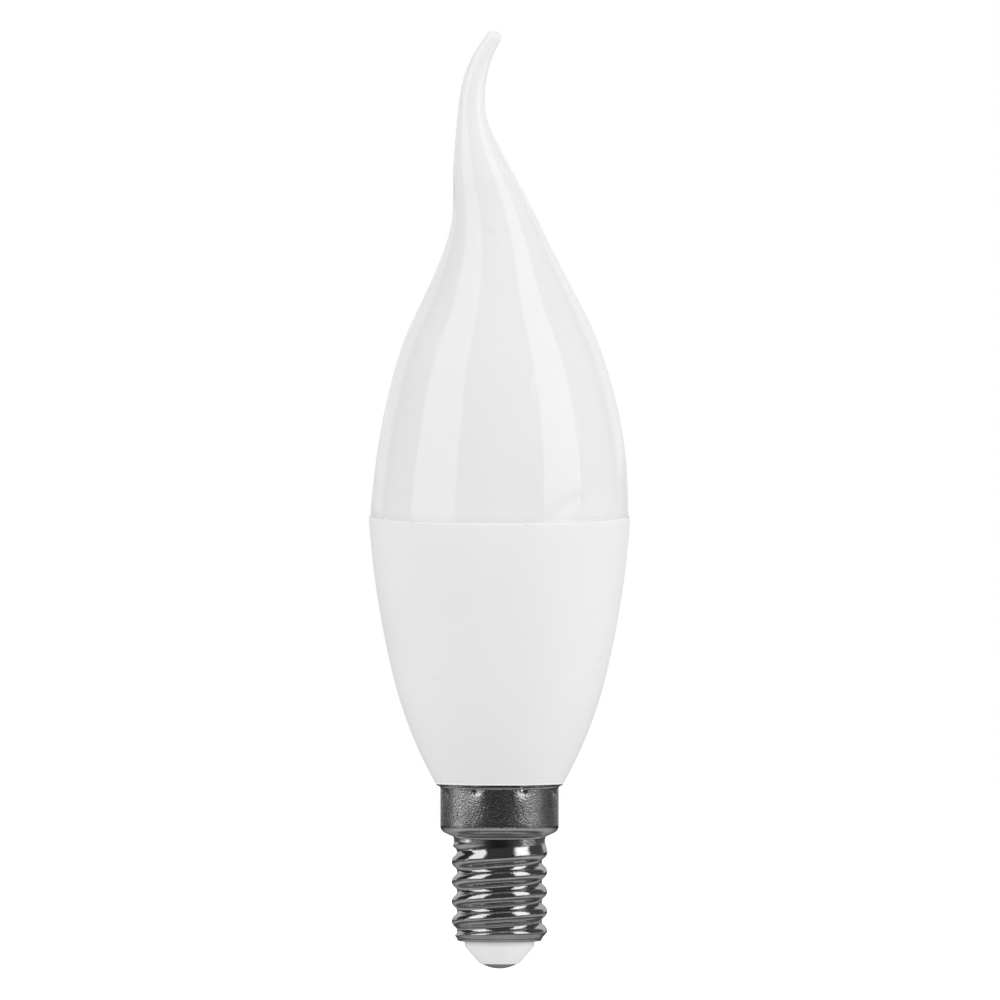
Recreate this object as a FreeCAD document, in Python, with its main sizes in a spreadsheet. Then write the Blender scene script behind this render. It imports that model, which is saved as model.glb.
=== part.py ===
"""LED candle bulb with a bent flame tip and a small rolled screw cap.

Five pieces are stacked on one upright axis: the centre contact, the insulator, the pressed screw
cap, the closed white housing and the opal flame diffuser. The origin is the lowest point of the
contact, +Z runs up the bulb, and the tail of the flame leans towards -X before it curls back.
"""
import FreeCAD, Part
import Sketcher
import math
import os
import re

from FreeCAD import Placement, Rotation, Vector

# Lengths in millimetres and angles in degrees. Each can be changed by itself.
SIZES = {
    # centre contact: a shallow pressed dome, its shank clenched over the insulator
    "contact_diameter": 4.85,
    "contact_rise": 0.61,
    "contact_edge": 0.08,
    "shank_diameter": 2.2,
    "shank_clearance": 0.05,
    "clench_diameter": 3.6,
    "clench_thickness": 0.5,
    # insulator: a moulded cone and collar under the cap, with a flange and boss inside it
    "insulator_face_diameter": 5.65,
    "insulator_cone_height": 2.5,
    "insulator_collar_height": 0.7,
    "insulator_flange_height": 1.85,
    "insulator_boss_diameter": 6.0,
    "insulator_boss_height": 0.9,
    # screw cap: thin sheet with a turned-in foot, a rolled round thread and a flared skirt
    "cap_wall": 0.3,
    "cap_clearance": 0.06,
    "foot_flat": 0.54,
    "foot_turn_in": 0.55,
    "foot_rise": 0.55,
    "foot_corner": 0.35,
    "foot_inset": 0.65,
    "thread_crest_diameter": 13.6,
    "thread_depth": 0.75,
    "thread_pitch": 2.822,
    "thread_turns": 4.5,
    "thread_runout_turns": 0.625,
    "thread_start_angle": 174.0,
    "waist_step": 0.15,
    "waist_length": 0.08,
    "neck_fillet": 0.6,
    "shoulder_radius": 0.85,
    "shoulder_slope": 65.0,
    "shoulder_width": 1.62,
    "skirt_length": 5.35,
    "flare_height": 0.6,
    "flare_spread": 0.55,
    "flare_lip": 0.12,
    # crimp: punched dimples that lock the skirt on the housing's neck
    "dimple_count": 8,
    "dimple_angle": 22.5,
    "dimple_drop": 1.1,
    "dimple_diameter": 1.0,
    "dimple_bottom_diameter": 0.5,
    "dimple_depth": 0.35,
    "groove_clearance": 0.06,
    # housing: closed moulding in two smooth arcs, with a neck below and a shallow mouth above.
    # The bulge is how far the joint of the arcs stands outside a straight line from foot to rim.
    "housing_overhang": 0.06,
    "housing_joint_height": 15.5,
    "housing_bulge": 2.24,
    "housing_upper_radius": 131.5,
    "housing_rim_diameter": 37.2,
    "housing_height": 38.15,
    "housing_edge": 0.2,
    "neck_gap": 0.57,
    "mouth_wall": 1.35,
    "mouth_gap": 0.4,
    # diffuser: opal flame with a thin wall and a spigot that drops into the mouth
    "seam_step": 0.2,
    "diffuser_wall": 1.0,
    "spigot_wall": 1.1,
    "spigot_depth": 3.0,
    "spigot_clearance": 0.08,
    "spigot_root": 1.6,
    "flame_height": 68.0,
    "flame_lean": 3.9,
}

# Shape of the flame: round sections above the seam, each with its share of the flame's height,
# of its greatest lean towards -X and of its width at the seam. The first ones are hollow, and
# the tail above them is solid.
FLAME = [
    (0.097, -0.056, 0.974),
    (0.193, -0.063, 0.924),
    (0.288, -0.04, 0.841),
    (0.376, -0.016, 0.734),
    (0.465, 0.026, 0.579),
    (0.553, 0.116, 0.425),
    (0.634, 0.309, 0.31),
    (0.707, 0.616, 0.235),
    (0.7735, 0.867, 0.168),
    (0.832, 1, 0.116),
    (0.888, 0.972, 0.0945),
    (0.938, 0.776, 0.08),
    (0.978, 0.457, 0.065),
    (1, 0.22, 0.059),
]
HOLLOW_SECTIONS = 8

# Sections of the rolled thread in one turn of its helix, and the first ones, which stay solid
# inside because the foot is turned in there.
THREAD_STEPS = 8
FOOT_STEPS = 4

# Radii and levels that follow from the sizes, from the contact up.
DERIVED = {
    "contact_radius": "contact_diameter / 2",
    "contact_dome_radius": "(contact_radius ^ 2 + contact_rise ^ 2) / (2 * contact_rise)",
    "shank_radius": "shank_diameter / 2",
    "shank_hole_radius": "shank_radius + shank_clearance",
    "insulator_level": "contact_rise + contact_edge",
    "collar_level": "insulator_level + insulator_cone_height",
    "cap_level": "collar_level + insulator_collar_height",
    "crest_radius": "thread_crest_diameter / 2",
    "foot_radius": "crest_radius - foot_inset",
    "foot_round": "(foot_rise ^ 2 + foot_turn_in ^ 2) / (2 * foot_turn_in)",
    "cap_hole_radius": "foot_radius - foot_turn_in - foot_flat",
    "insulator_radius": "cap_hole_radius - cap_clearance",
    "bore_radius": "crest_radius - thread_depth - cap_wall - cap_clearance",
    "seat_level": "cap_level + cap_wall",
    "flange_radius": "bore_radius - cap_clearance",
    "flange_level": "seat_level + foot_corner",
    "flange_top": "seat_level + insulator_flange_height",
    "boss_radius": "insulator_boss_diameter / 2",
    "boss_top": "flange_top + insulator_boss_height",
    "thread_top": "cap_level + thread_pitch * (thread_turns + thread_runout_turns)",
    "waist_radius": "crest_radius - waist_step",
    "shoulder_level": "thread_top + waist_length",
    "skirt_radius": "crest_radius + shoulder_width",
    "slope_cosine": "cos(shoulder_slope * 1 deg)",
    "slope_sine": "sin(shoulder_slope * 1 deg)",
    "slope_width": "skirt_radius - waist_radius - (neck_fillet + shoulder_radius) * (1 - slope_cosine)",
    "slope_level": "shoulder_level + neck_fillet * slope_sine",
    "slope_top": "slope_level + slope_width * slope_cosine / slope_sine",
    "skirt_level": "slope_top + shoulder_radius * slope_sine",
    "flare_level": "skirt_level + skirt_length",
    "flare_round": "(flare_height ^ 2 + flare_spread ^ 2) / (2 * flare_spread)",
    "flare_radius": "skirt_radius + flare_spread",
    "cap_top": "flare_level + flare_height + flare_lip",
    "dimple_level": "cap_top - dimple_drop",
    "groove_radius": "skirt_radius - dimple_depth - cap_wall - groove_clearance",
    "groove_reach": "dimple_diameter / 2 + cap_wall + groove_clearance",
    "neck_radius": "skirt_radius - cap_wall - cap_clearance",
    "neck_level": "skirt_level + neck_gap",
    "base_radius": "flare_radius + housing_overhang",
    "rim_radius": "housing_rim_diameter / 2",
    "joint_share": "housing_joint_height / housing_height",
    "joint_radius": "base_radius + (rim_radius - base_radius) * joint_share + housing_bulge",
    "seam_level": "cap_top + housing_height",
    "mouth_radius": "rim_radius - mouth_wall",
    "mouth_level": "seam_level - spigot_depth - mouth_gap",
    "spigot_radius": "mouth_radius - spigot_clearance",
    "seam_diameter": "housing_rim_diameter - 2 * seam_step",
    "ledge_radius": "(seam_diameter - diffuser_wall) / 2",
}


def make_sheet(doc):
    """Writes the driving sizes as plain numbers, then what follows from them as formulas."""
    cells = dict(SIZES)
    for number, (height, lean, width) in enumerate(FLAME, 1):
        cells[f"height_share_{number}"] = height
        cells[f"lean_share_{number}"] = lean
        cells[f"width_share_{number}"] = width
    for name, formula in DERIVED.items():
        cells[name] = f"={formula}"
    sheet = doc.addObject("Spreadsheet::Sheet", "sizes")
    for row, (name, content) in enumerate(cells.items(), 1):
        sheet.set(f"A{row}", name)
        sheet.set(f"B{row}", str(content))
        sheet.setAlias(f"B{row}", name)
    doc.recompute()


def sized(formula):
    """Points the names of sizes in a formula, which all hold an underscore, at the sheet."""
    return re.sub(r"[a-z]+(_[a-z0-9]+)+", r"sizes.\g<0>", formula)


def value_of(owner, formula):
    """The number that a formula stands for."""
    result = owner.evalExpression(sized(formula))
    return float(getattr(result, "Value", result))


def new_body(doc, label):
    """A sub-part. Its label is the name of its file."""
    body = doc.addObject("PartDesign::Body", label)
    body.Label = label
    return body


def base_feature(body, role):
    """One of the body's own base planes or axes."""
    return next(item for item in body.Origin.OriginFeatures if item.Role == role)


def attach(body, kind, name, plane, across="0", upward="0", out="0", turn="0", axis=Vector(0, 1, 0)):
    """A sketch or solid on a base plane, moved along the plane's own axes and turned about axis."""
    item = body.newObject(kind, name)
    item.AttachmentSupport = [(base_feature(body, plane), "")]
    item.MapMode = "FlatFace"
    item.AttachmentOffset = Placement(Vector(), Rotation(axis, 1))
    item.setExpression("AttachmentOffset.Base.x", sized(across))
    item.setExpression("AttachmentOffset.Base.y", sized(upward))
    item.setExpression("AttachmentOffset.Base.z", sized(out))
    item.setExpression("AttachmentOffset.Rotation.Angle", sized(turn))
    return item


def upright_sketch(body, name, **place):
    """A sketch whose own axes run out from the bulb's axis and up along it."""
    return attach(body, "Sketcher::SketchObject", name, "XZ_Plane", **place)


def bowed_middle(start, end, radius, turn):
    """Middle of the short arc from start to end; turn is 1 where it curves left, -1 right."""
    chord = end - start
    half = chord.Length / 2
    sag = radius - math.sqrt(max(radius * radius - half * half, 0.0))
    outward = Vector(chord.y, -chord.x, 0).normalize() * turn
    return (start + end) * 0.5 + outward * sag


def bind(sketch, constraint, formula):
    """Adds a constraint whose size is a formula."""
    index = sketch.addConstraint(constraint)
    sketch.setExpression(f"Constraints[{index}]", sized(formula))


def fix_corner(sketch, side, end, across, upward):
    """Ties one end of a side to its place, measured from the sketch's origin."""
    for kind, axis, formula in (("DistanceX", -2, across), ("DistanceY", -1, upward)):
        if formula == "0":
            sketch.addConstraint(Sketcher.Constraint("PointOnObject", side, end, axis))
        else:
            length = value_of(sketch, formula)
            bind(sketch, Sketcher.Constraint(kind, -1, 1, side, end, length), formula)


def draw_side(sketch, start, end, arc):
    """Draws one side and says which of its own ends are its start and its end."""
    if arc is None:
        shape = Part.LineSegment(start, end)
    else:
        radius, turn = arc
        length = value_of(sketch, radius) if radius else (end - start).Length * 3
        shape = Part.Arc(start, bowed_middle(start, end, length, turn), end)
    side = sketch.addGeometry(shape)
    to_start = sketch.getPoint(side, 1).distanceToPoint(start)
    to_end = sketch.getPoint(side, 1).distanceToPoint(end)
    return (1, 2) if to_start < to_end else (2, 1)


def draw_outline(sketch, corners):
    """Draws a closed outline from its corners.

    A corner is (across, upward) or (across, upward, arc), where arc shapes the side that leaves
    it: (radius, turn) with turn 1 for a curve to the left and -1 to the right. A radius of None
    makes that side run on smoothly into the next.
    """
    places = [Vector(value_of(sketch, corner[0]), value_of(sketch, corner[1]), 0) for corner in corners]
    arcs = [corner[2] if len(corner) == 3 else None for corner in corners]
    follow = places[1:] + places[:1]
    ends = [draw_side(sketch, *side) for side in zip(places, follow, arcs)]
    for side, corner in enumerate(corners):
        after = (side + 1) % len(corners)
        smooth = arcs[side] is not None and arcs[side][0] is None
        meeting = "Tangent" if smooth else "Coincident"
        sketch.addConstraint(Sketcher.Constraint(meeting, side, ends[side][1], after, ends[after][0]))
        fix_corner(sketch, side, ends[side][0], corner[0], corner[1])
        if arcs[side] and not smooth:
            radius = arcs[side][0]
            bind(sketch, Sketcher.Constraint("Radius", side, value_of(sketch, radius)), radius)


def spun(body, kind, name, sketch, axis="V_Axis"):
    """A Revolution or Groove: one full turn of a sketch about its own axis."""
    feature = body.newObject(f"PartDesign::{kind}", name)
    feature.Profile = sketch
    feature.ReferenceAxis = (sketch, [axis])
    feature.Angle = 360
    body.Tip = feature
    return feature


def ring(body, name, diameter, **place):
    """A circle on a level plane, moved and tilted to its place."""
    sketch = attach(body, "Sketcher::SketchObject", name, "XY_Plane", **place)
    size = value_of(sketch, diameter)
    sketch.addGeometry(Part.Circle(Vector(), Vector(0, 0, 1), size / 2))
    sketch.addConstraint(Sketcher.Constraint("Coincident", 0, 3, -1, 1))
    bind(sketch, Sketcher.Constraint("Diameter", 0, size), diameter)
    return sketch


def lofted(body, kind, name, rings, ruled=False):
    """An AdditiveLoft or SubtractiveLoft through the rings."""
    feature = body.newObject(f"PartDesign::{kind}", name)
    feature.Profile = rings[0]
    feature.Sections = rings[1:]
    feature.Ruled = ruled
    body.Tip = feature


def make_centre_contact(doc):
    """Domed contact whose shank passes the insulator and is clenched over its boss."""
    body = new_body(doc, "centre_contact")
    profile = upright_sketch(body, "contact_profile")
    draw_outline(profile, [
        ("0", "0", ("contact_dome_radius", 1)),
        ("contact_radius", "contact_rise"),
        ("contact_radius", "insulator_level"),
        ("shank_radius", "insulator_level"),
        ("shank_radius", "boss_top"),
        ("clench_diameter / 2", "boss_top"),
        ("clench_diameter / 2", "boss_top + clench_thickness"),
        ("0", "boss_top + clench_thickness"),
    ])
    spun(body, "Revolution", "contact_form", profile)
    return body


def make_insulator(doc):
    """Cone and collar that show under the cap, held by the flange that rests in its foot."""
    body = new_body(doc, "insulator")
    profile = upright_sketch(body, "insulator_profile")
    draw_outline(profile, [
        ("shank_hole_radius", "insulator_level"),
        ("insulator_face_diameter / 2", "insulator_level"),
        ("insulator_radius", "collar_level"),
        ("insulator_radius", "seat_level"),
        ("flange_radius - foot_corner", "seat_level"),
        ("flange_radius", "flange_level"),
        ("flange_radius", "flange_top"),
        ("boss_radius", "flange_top"),
        ("boss_radius", "boss_top"),
        ("shank_hole_radius", "boss_top"),
    ])
    spun(body, "Revolution", "insulator_form", profile)
    return body


def thread_rings(body, name, inset, first=0):
    """Level circles of the rolled thread, from the foot up, drawn in by inset.

    A round groove rolled along a helix leaves each level section of the sheet a circle, set off
    centre towards the crest by half the groove's depth. That offset turns once in each pitch, so
    the centres climb a small helix, and it fades where the groove runs out into the waist.
    """
    full = round(SIZES["thread_turns"] * THREAD_STEPS)
    fading = max(round(SIZES["thread_runout_turns"] * THREAD_STEPS), 1)
    rings = []
    for step in range(first, full + fading + 1):
        faded = max(step - full, 0) / fading
        turns = f"(thread_turns * {min(step / full, 1)} + thread_runout_turns * {faded})"
        offset = f"thread_depth / 2 * {1 - faded}"
        angle = f"(thread_start_angle + 360 * {turns}) * 1 deg"
        reach = f"thread_crest_diameter - 2 * {offset} - 2 * waist_step * {faded}"
        rings.append(ring(
            body, f"{name}_{step}", f"{reach} - 2 * {inset}",
            across=f"{offset} * cos({angle})",
            upward=f"{offset} * sin({angle})",
            out=f"cap_level + thread_pitch * {turns}",
        ))
    return rings


def add_crimp(body):
    """Punches the dimples: each is a small cone, with the sheet pushed in behind it."""
    place = {"upward": "dimple_level", "turn": "dimple_angle"}
    bulge_profile = upright_sketch(body, "bulge_profile", **place)
    draw_outline(bulge_profile, [
        ("skirt_radius - dimple_depth - cap_wall", "0"),
        ("skirt_radius - cap_wall / 2", "0"),
        ("skirt_radius - cap_wall / 2", "dimple_diameter / 2 + cap_wall"),
        ("skirt_radius - dimple_depth - cap_wall", "dimple_bottom_diameter / 2 + cap_wall"),
    ])
    bulge = spun(body, "Revolution", "crimp_bulge", bulge_profile, "H_Axis")
    dimple_profile = upright_sketch(body, "dimple_profile", **place)
    draw_outline(dimple_profile, [
        ("skirt_radius - dimple_depth", "0"),
        ("skirt_radius + cap_wall", "0"),
        ("skirt_radius + cap_wall", "dimple_diameter / 2"),
        ("skirt_radius", "dimple_diameter / 2"),
        ("skirt_radius - dimple_depth", "dimple_bottom_diameter / 2"),
    ])
    dimple = spun(body, "Groove", "crimp_dimple", dimple_profile, "H_Axis")
    pattern = body.newObject("PartDesign::PolarPattern", "crimp_pattern")
    pattern.Originals = [bulge, dimple]
    pattern.Axis = (base_feature(body, "Z_Axis"), [""])
    pattern.Angle = 360
    pattern.setExpression("Occurrences", sized("dimple_count"))
    body.Tip = pattern


def make_screw_cap(doc):
    """Pressed cap: its outside made solid, then the inside of the same sheet, then the crimp."""
    body = new_body(doc, "screw_cap")
    lofted(body, "AdditiveLoft", "rolled_thread", thread_rings(body, "crest_ring", "0"), ruled=True)

    outside = upright_sketch(body, "skirt_outside")
    draw_outline(outside, [
        ("0", "thread_top"),
        ("waist_radius", "thread_top"),
        ("waist_radius", "shoulder_level", ("neck_fillet", -1)),
        ("waist_radius + neck_fillet * (1 - slope_cosine)", "slope_level"),
        ("skirt_radius - shoulder_radius * (1 - slope_cosine)", "slope_top", ("shoulder_radius", 1)),
        ("skirt_radius", "skirt_level"),
        ("skirt_radius", "flare_level", ("flare_round", -1)),
        ("flare_radius", "flare_level + flare_height"),
        ("flare_radius", "cap_top"),
        ("0", "cap_top"),
    ])
    spun(body, "Revolution", "skirt_form", outside)

    foot = upright_sketch(body, "foot_waste")
    draw_outline(foot, [
        ("foot_radius - foot_turn_in", "cap_level", ("foot_round", 1)),
        ("foot_radius", "cap_level + foot_rise"),
        ("crest_radius + cap_wall", "cap_level + foot_rise + crest_radius + cap_wall - foot_radius"),
        ("crest_radius + cap_wall", "cap_level - cap_wall"),
        ("foot_radius - foot_turn_in", "cap_level - cap_wall"),
    ])
    spun(body, "Groove", "foot_turn", foot)

    foot_inside = upright_sketch(body, "foot_inside")
    draw_outline(foot_inside, [
        ("0", "cap_level"),
        ("cap_hole_radius", "cap_level"),
        ("cap_hole_radius", "seat_level"),
        ("bore_radius - foot_corner", "seat_level"),
        ("bore_radius", "flange_level"),
        ("bore_radius", "flange_top"),
        ("0", "flange_top"),
    ])
    spun(body, "Groove", "foot_bore", foot_inside)

    hollow = thread_rings(body, "hollow_ring", "cap_wall", FOOT_STEPS)
    lofted(body, "SubtractiveLoft", "thread_bore", hollow, ruled=True)

    inside = upright_sketch(body, "skirt_inside")
    draw_outline(inside, [
        ("0", "thread_top"),
        ("waist_radius - cap_wall", "thread_top"),
        ("waist_radius - cap_wall", "shoulder_level", ("neck_fillet + cap_wall", -1)),
        (
            "waist_radius + neck_fillet - (neck_fillet + cap_wall) * slope_cosine",
            "shoulder_level + (neck_fillet + cap_wall) * slope_sine",
        ),
        (
            "skirt_radius - shoulder_radius + (shoulder_radius - cap_wall) * slope_cosine",
            "skirt_level - (shoulder_radius - cap_wall) * slope_sine",
            ("shoulder_radius - cap_wall", 1),
        ),
        ("skirt_radius - cap_wall", "skirt_level"),
        ("skirt_radius - cap_wall", "flare_level"),
        ("flare_radius - cap_wall", "cap_top"),
        ("0", "cap_top"),
    ])
    spun(body, "Groove", "skirt_bore", inside)
    add_crimp(body)
    return body


def make_housing(doc):
    """Closed moulding: crimped neck, smooth outside in two arcs, and a shallow mouth."""
    body = new_body(doc, "housing")
    profile = upright_sketch(body, "housing_profile")
    draw_outline(profile, [
        ("0", "neck_level"),
        ("neck_radius", "neck_level"),
        ("neck_radius", "dimple_level - groove_reach"),
        ("groove_radius", "dimple_level - groove_reach"),
        ("groove_radius", "dimple_level + groove_reach"),
        ("neck_radius", "dimple_level + groove_reach"),
        ("neck_radius", "cap_top"),
        ("base_radius", "cap_top", (None, 1)),
        ("joint_radius", "cap_top + housing_joint_height", ("housing_upper_radius", 1)),
        ("rim_radius", "seam_level - housing_edge"),
        ("rim_radius - housing_edge", "seam_level"),
        ("mouth_radius", "seam_level"),
        ("mouth_radius", "mouth_level"),
        ("0", "mouth_level"),
    ])
    spun(body, "Revolution", "housing_form", profile)
    return body


def flame_stations():
    """Formulas of each flame section's level, lean, tilt and diameter, from the seam up."""
    levels = ["seam_level"]
    leans = ["0"]
    diameters = ["seam_diameter"]
    for number in range(1, len(FLAME) + 1):
        levels.append(f"seam_level + flame_height * height_share_{number}")
        leans.append(f"-flame_lean * lean_share_{number}")
        diameters.append(f"seam_diameter * width_share_{number}")
    tilts = ["0"]
    for number in range(1, len(FLAME) + 1):
        above = min(number + 1, len(FLAME))
        shift = f"({leans[above]} - ({leans[number - 1]}))"
        climb = f"({levels[above]} - ({levels[number - 1]}))"
        tilts.append(f"atan({shift} / {climb})")
    return list(zip(levels, leans, tilts, diameters))


def make_diffuser(doc):
    """Opal flame: a skin through tilted rings, a round tip, the hollow and the spigot."""
    body = new_body(doc, "diffuser")
    stations = flame_stations()
    outer = []
    inner = []
    for number, (level, lean, tilt, diameter) in enumerate(stations):
        place = {"across": lean, "out": level, "turn": tilt}
        outer.append(ring(body, f"flame_ring_{number}", diameter, **place))
        if number <= HOLLOW_SECTIONS:
            inner.append(ring(body, f"hollow_ring_{number}", f"{diameter} - 2 * diffuser_wall", **place))
    lofted(body, "AdditiveLoft", "flame_skin", outer)

    level, lean, tilt, diameter = stations[-1]
    tip = attach(body, "PartDesign::AdditiveSphere", "flame_tip", "XY_Plane", across=lean, out=level)
    tip.setExpression("Radius", sized(f"{diameter} / 2"))
    body.Tip = tip

    lofted(body, "SubtractiveLoft", "flame_hollow", inner, ruled=True)

    spigot = upright_sketch(body, "spigot_profile")
    draw_outline(spigot, [
        ("spigot_radius - spigot_wall", "seam_level - spigot_depth"),
        ("spigot_radius", "seam_level - spigot_depth"),
        ("spigot_radius", "seam_level"),
        ("ledge_radius", "seam_level"),
        ("ledge_radius", "seam_level + spigot_root"),
        ("spigot_radius - spigot_wall", "seam_level + spigot_root / 2"),
    ])
    spun(body, "Revolution", "spigot", spigot)
    return body


def check(doc, parts):
    """Stops if any feature failed or any sub-part isn't one sound solid."""
    for item in doc.Objects:
        if "Invalid" in item.State or "Error" in item.State:
            raise RuntimeError(f"{item.Name} failed: {item.State}")
    for part in parts:
        shape = part.Shape
        if shape.isNull() or not shape.isValid() or len(shape.Solids) != 1:
            raise RuntimeError(f"{part.Label} isn't one sound solid")


def main():
    doc = FreeCAD.newDocument("candle_bulb")
    make_sheet(doc)
    makers = (make_centre_contact, make_insulator, make_screw_cap, make_housing, make_diffuser)
    parts = [make(doc) for make in makers]
    doc.recompute()
    check(doc, parts)
    os.makedirs("parts", exist_ok=True)
    for part in parts:
        part.Shape.exportStep(f"parts/{part.Label}.step")
        print(part.Label, round(part.Shape.Volume, 2), "mm3")


main()
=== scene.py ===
"""Candle bulb: finish of its opal flame, white housing, screw cap, insulator and contact."""
import math

import bmesh
import bpy
import numpy as np
from bpy.props import FloatProperty, FloatVectorProperty, IntProperty, PointerProperty
from mathutils import Matrix, Vector


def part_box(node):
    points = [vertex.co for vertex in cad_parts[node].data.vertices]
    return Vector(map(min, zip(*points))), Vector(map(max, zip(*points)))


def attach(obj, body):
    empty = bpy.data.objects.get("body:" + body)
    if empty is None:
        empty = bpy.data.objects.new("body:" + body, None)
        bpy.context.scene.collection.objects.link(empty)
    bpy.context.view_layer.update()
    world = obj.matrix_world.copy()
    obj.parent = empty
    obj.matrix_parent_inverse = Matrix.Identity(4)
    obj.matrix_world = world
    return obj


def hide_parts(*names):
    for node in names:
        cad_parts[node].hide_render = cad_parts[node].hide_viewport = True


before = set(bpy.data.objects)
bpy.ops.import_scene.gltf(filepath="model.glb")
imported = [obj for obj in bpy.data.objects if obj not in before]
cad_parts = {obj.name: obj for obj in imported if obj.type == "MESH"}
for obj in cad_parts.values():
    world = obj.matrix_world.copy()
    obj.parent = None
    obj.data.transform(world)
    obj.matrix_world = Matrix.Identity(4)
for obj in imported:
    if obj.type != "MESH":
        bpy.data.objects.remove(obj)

bl_info = {
    "name": "Candle Bulb",
    "version": (1, 0, 0),
    "blender": (4, 5, 0),
    "location": "View3D > Sidebar > Candle Bulb",
    "description": "Makes a candle bulb with a bent flame tip and a small screw cap",
    "category": "Object",
}

MM = 0.001

# Levels and radii closer than this, in metres, count as the same.
SAME = 1e-6

# Points closer than this, in metres, become one.
MERGE_REACH = 1e-7

# Levels and radii of the pieces, read from the frame.
HOUSING_LOW, HOUSING_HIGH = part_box("housing")
CAP_LOW, CAP_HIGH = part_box("screw_cap")
INSULATOR_LOW, INSULATOR_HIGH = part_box("insulator")
CONTACT_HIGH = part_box("centre_contact")[1]
DIFFUSER_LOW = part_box("diffuser")[0]
SEAM_LEVEL = HOUSING_HIGH.z
RIM_RADIUS = HOUSING_HIGH.x
CAP_TOP = CAP_HIGH.z

# Shape of the flame: sections above the seam, each with its share of the flame's height, of its
# greatest lean towards -X and of its width at the seam.
FLAME = [
    (0, 0, 1), (0.097, -0.056, 0.974), (0.193, -0.063, 0.924), (0.288, -0.04, 0.841),
    (0.376, -0.016, 0.734), (0.465, 0.026, 0.579), (0.553, 0.116, 0.425), (0.634, 0.309, 0.31),
    (0.707, 0.616, 0.235), (0.7735, 0.867, 0.168), (0.832, 1, 0.116), (0.888, 0.972, 0.0945),
    (0.938, 0.776, 0.08), (0.978, 0.457, 0.065), (1, 0.22, 0.059),
]


# Kinds of settings. The panel makes each label from the setting's own name.

def length(default, description):
    """A length in metres, with its default given in millimetres."""
    return FloatProperty(
        description=description, default=default * MM, min=0, unit="LENGTH", precision=6,
    )


def number(default, description, **more):
    """A plain number."""
    return FloatProperty(description=description, default=default, **more)


def whole(default, description, least):
    """A whole number."""
    return IntProperty(description=description, default=default, min=least)


def turn(default, description):
    """An angle, with its default given in degrees."""
    return FloatProperty(
        description=description, default=math.radians(default), subtype="ANGLE",
    )


def colour(default, description):
    """A colour of a surface."""
    return FloatVectorProperty(
        description=description, default=default, size=3, subtype="COLOR", min=0, max=1,
    )


class DiffuserSettings(bpy.types.PropertyGroup):
    seam_step: length(0.2, "How far the housing's rim stands proud of the diffuser")
    wall: length(1.0, "Thickness of the opal wall")
    hollow_height: length(48.0, "Height of the hollow above the seam")
    flame_height: length(68.0, "From the seam to the centre of the round tip")
    flame_lean: length(3.9, "Greatest lean of the tail")
    spigot_clearance: length(0.08, "Gap between the spigot and the mouth")
    spigot_wall: length(1.1, "Thickness of the spigot")
    mouth_wall: length(1.35, "Thickness of the housing round its mouth")
    segments: whole(160, "Points in one ring", 16)
    rows: whole(150, "Rings from seam to tip", 20)
    tint: colour((0.82, 0.82, 0.82), "Colour of the opal plastic")


class HousingSettings(bpy.types.PropertyGroup):
    neck_radius: length(8.06, "Radius of the neck inside the cap")
    overhang: length(0.06, "How far the foot reaches past the cap's rim")
    joint_height: length(15.5, "Height of the joint of the two arcs above the foot")
    bulge: length(2.24, "How far the joint stands outside a straight line from foot to rim")
    upper_radius: length(131.5, "Radius of the upper arc")
    foot_round: length(0.2, "Rounding of the foot's edge")
    rim_round: length(0.2, "Rounding of the rim's edge")
    mouth_depth: length(3.4, "Depth of the mouth that takes the spigot")
    seam_lean: turn(2.45, "How far the seam dips towards the camera's side")
    seam_reach: length(8.0, "Height over which the dip of the seam fades out")
    segments: whole(160, "Steps in one turn", 16)
    tint: colour((0.83, 0.83, 0.83), "Colour of the white plastic")


class CapSettings(bpy.types.PropertyGroup):
    wall: length(0.3, "Thickness of the sheet")
    hole_radius: length(5.06, "Radius of the hole in the foot")
    foot_radius: length(6.15, "Radius of the band above the foot")
    foot_round: length(0.55, "Rounding of the turned-in foot")
    crest_radius: length(6.8, "Radius over the thread's crests")
    thread_depth: length(0.75, "Depth of the rolled groove")
    thread_pitch: length(2.822, "Rise of the thread in one turn")
    thread_turns: number(4.5, "Turns of the thread at its full depth")
    runout_turns: number(0.625, "Turns from the full thread to the waist")
    fade_turns: number(0.25, "Turns over which the groove fades")
    narrow_turns: number(0.55, "Turns over which the crests narrow to the waist")
    thread_start: turn(174, "Angle of the crest at the foot")
    crest_share: number(0.6, "Radius of a crest as a share of crest and root radius")
    waist_radius: length(6.5, "Radius of the plain waist above the thread")
    waist_length: length(0.17, "Plain length above the run-out")
    waist_fillet: length(0.38, "Fillet between waist and shoulder")
    shoulder_radius: length(1.15, "Rounding of the shoulder")
    shoulder_slope: turn(66, "Slope of the shoulder from upright")
    shoulder_width: length(1.62, "From the crests out to the skirt")
    skirt_length: length(5.32, "Length of the plain skirt")
    flare_height: length(0.38, "Height of the flared rim")
    flare_spread: length(0.55, "Spread of the flared rim")
    dimple_drop: length(0.7, "From the rim down to the crimp dimples")
    dimple_depth: length(0.33, "Depth of a dimple")
    dimple_radius: length(0.45, "Radius of a dimple")
    segments: whole(256, "Steps in one turn", 32)
    tint: colour((0.7, 0.7, 0.695), "Colour of the plated sheet")


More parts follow.
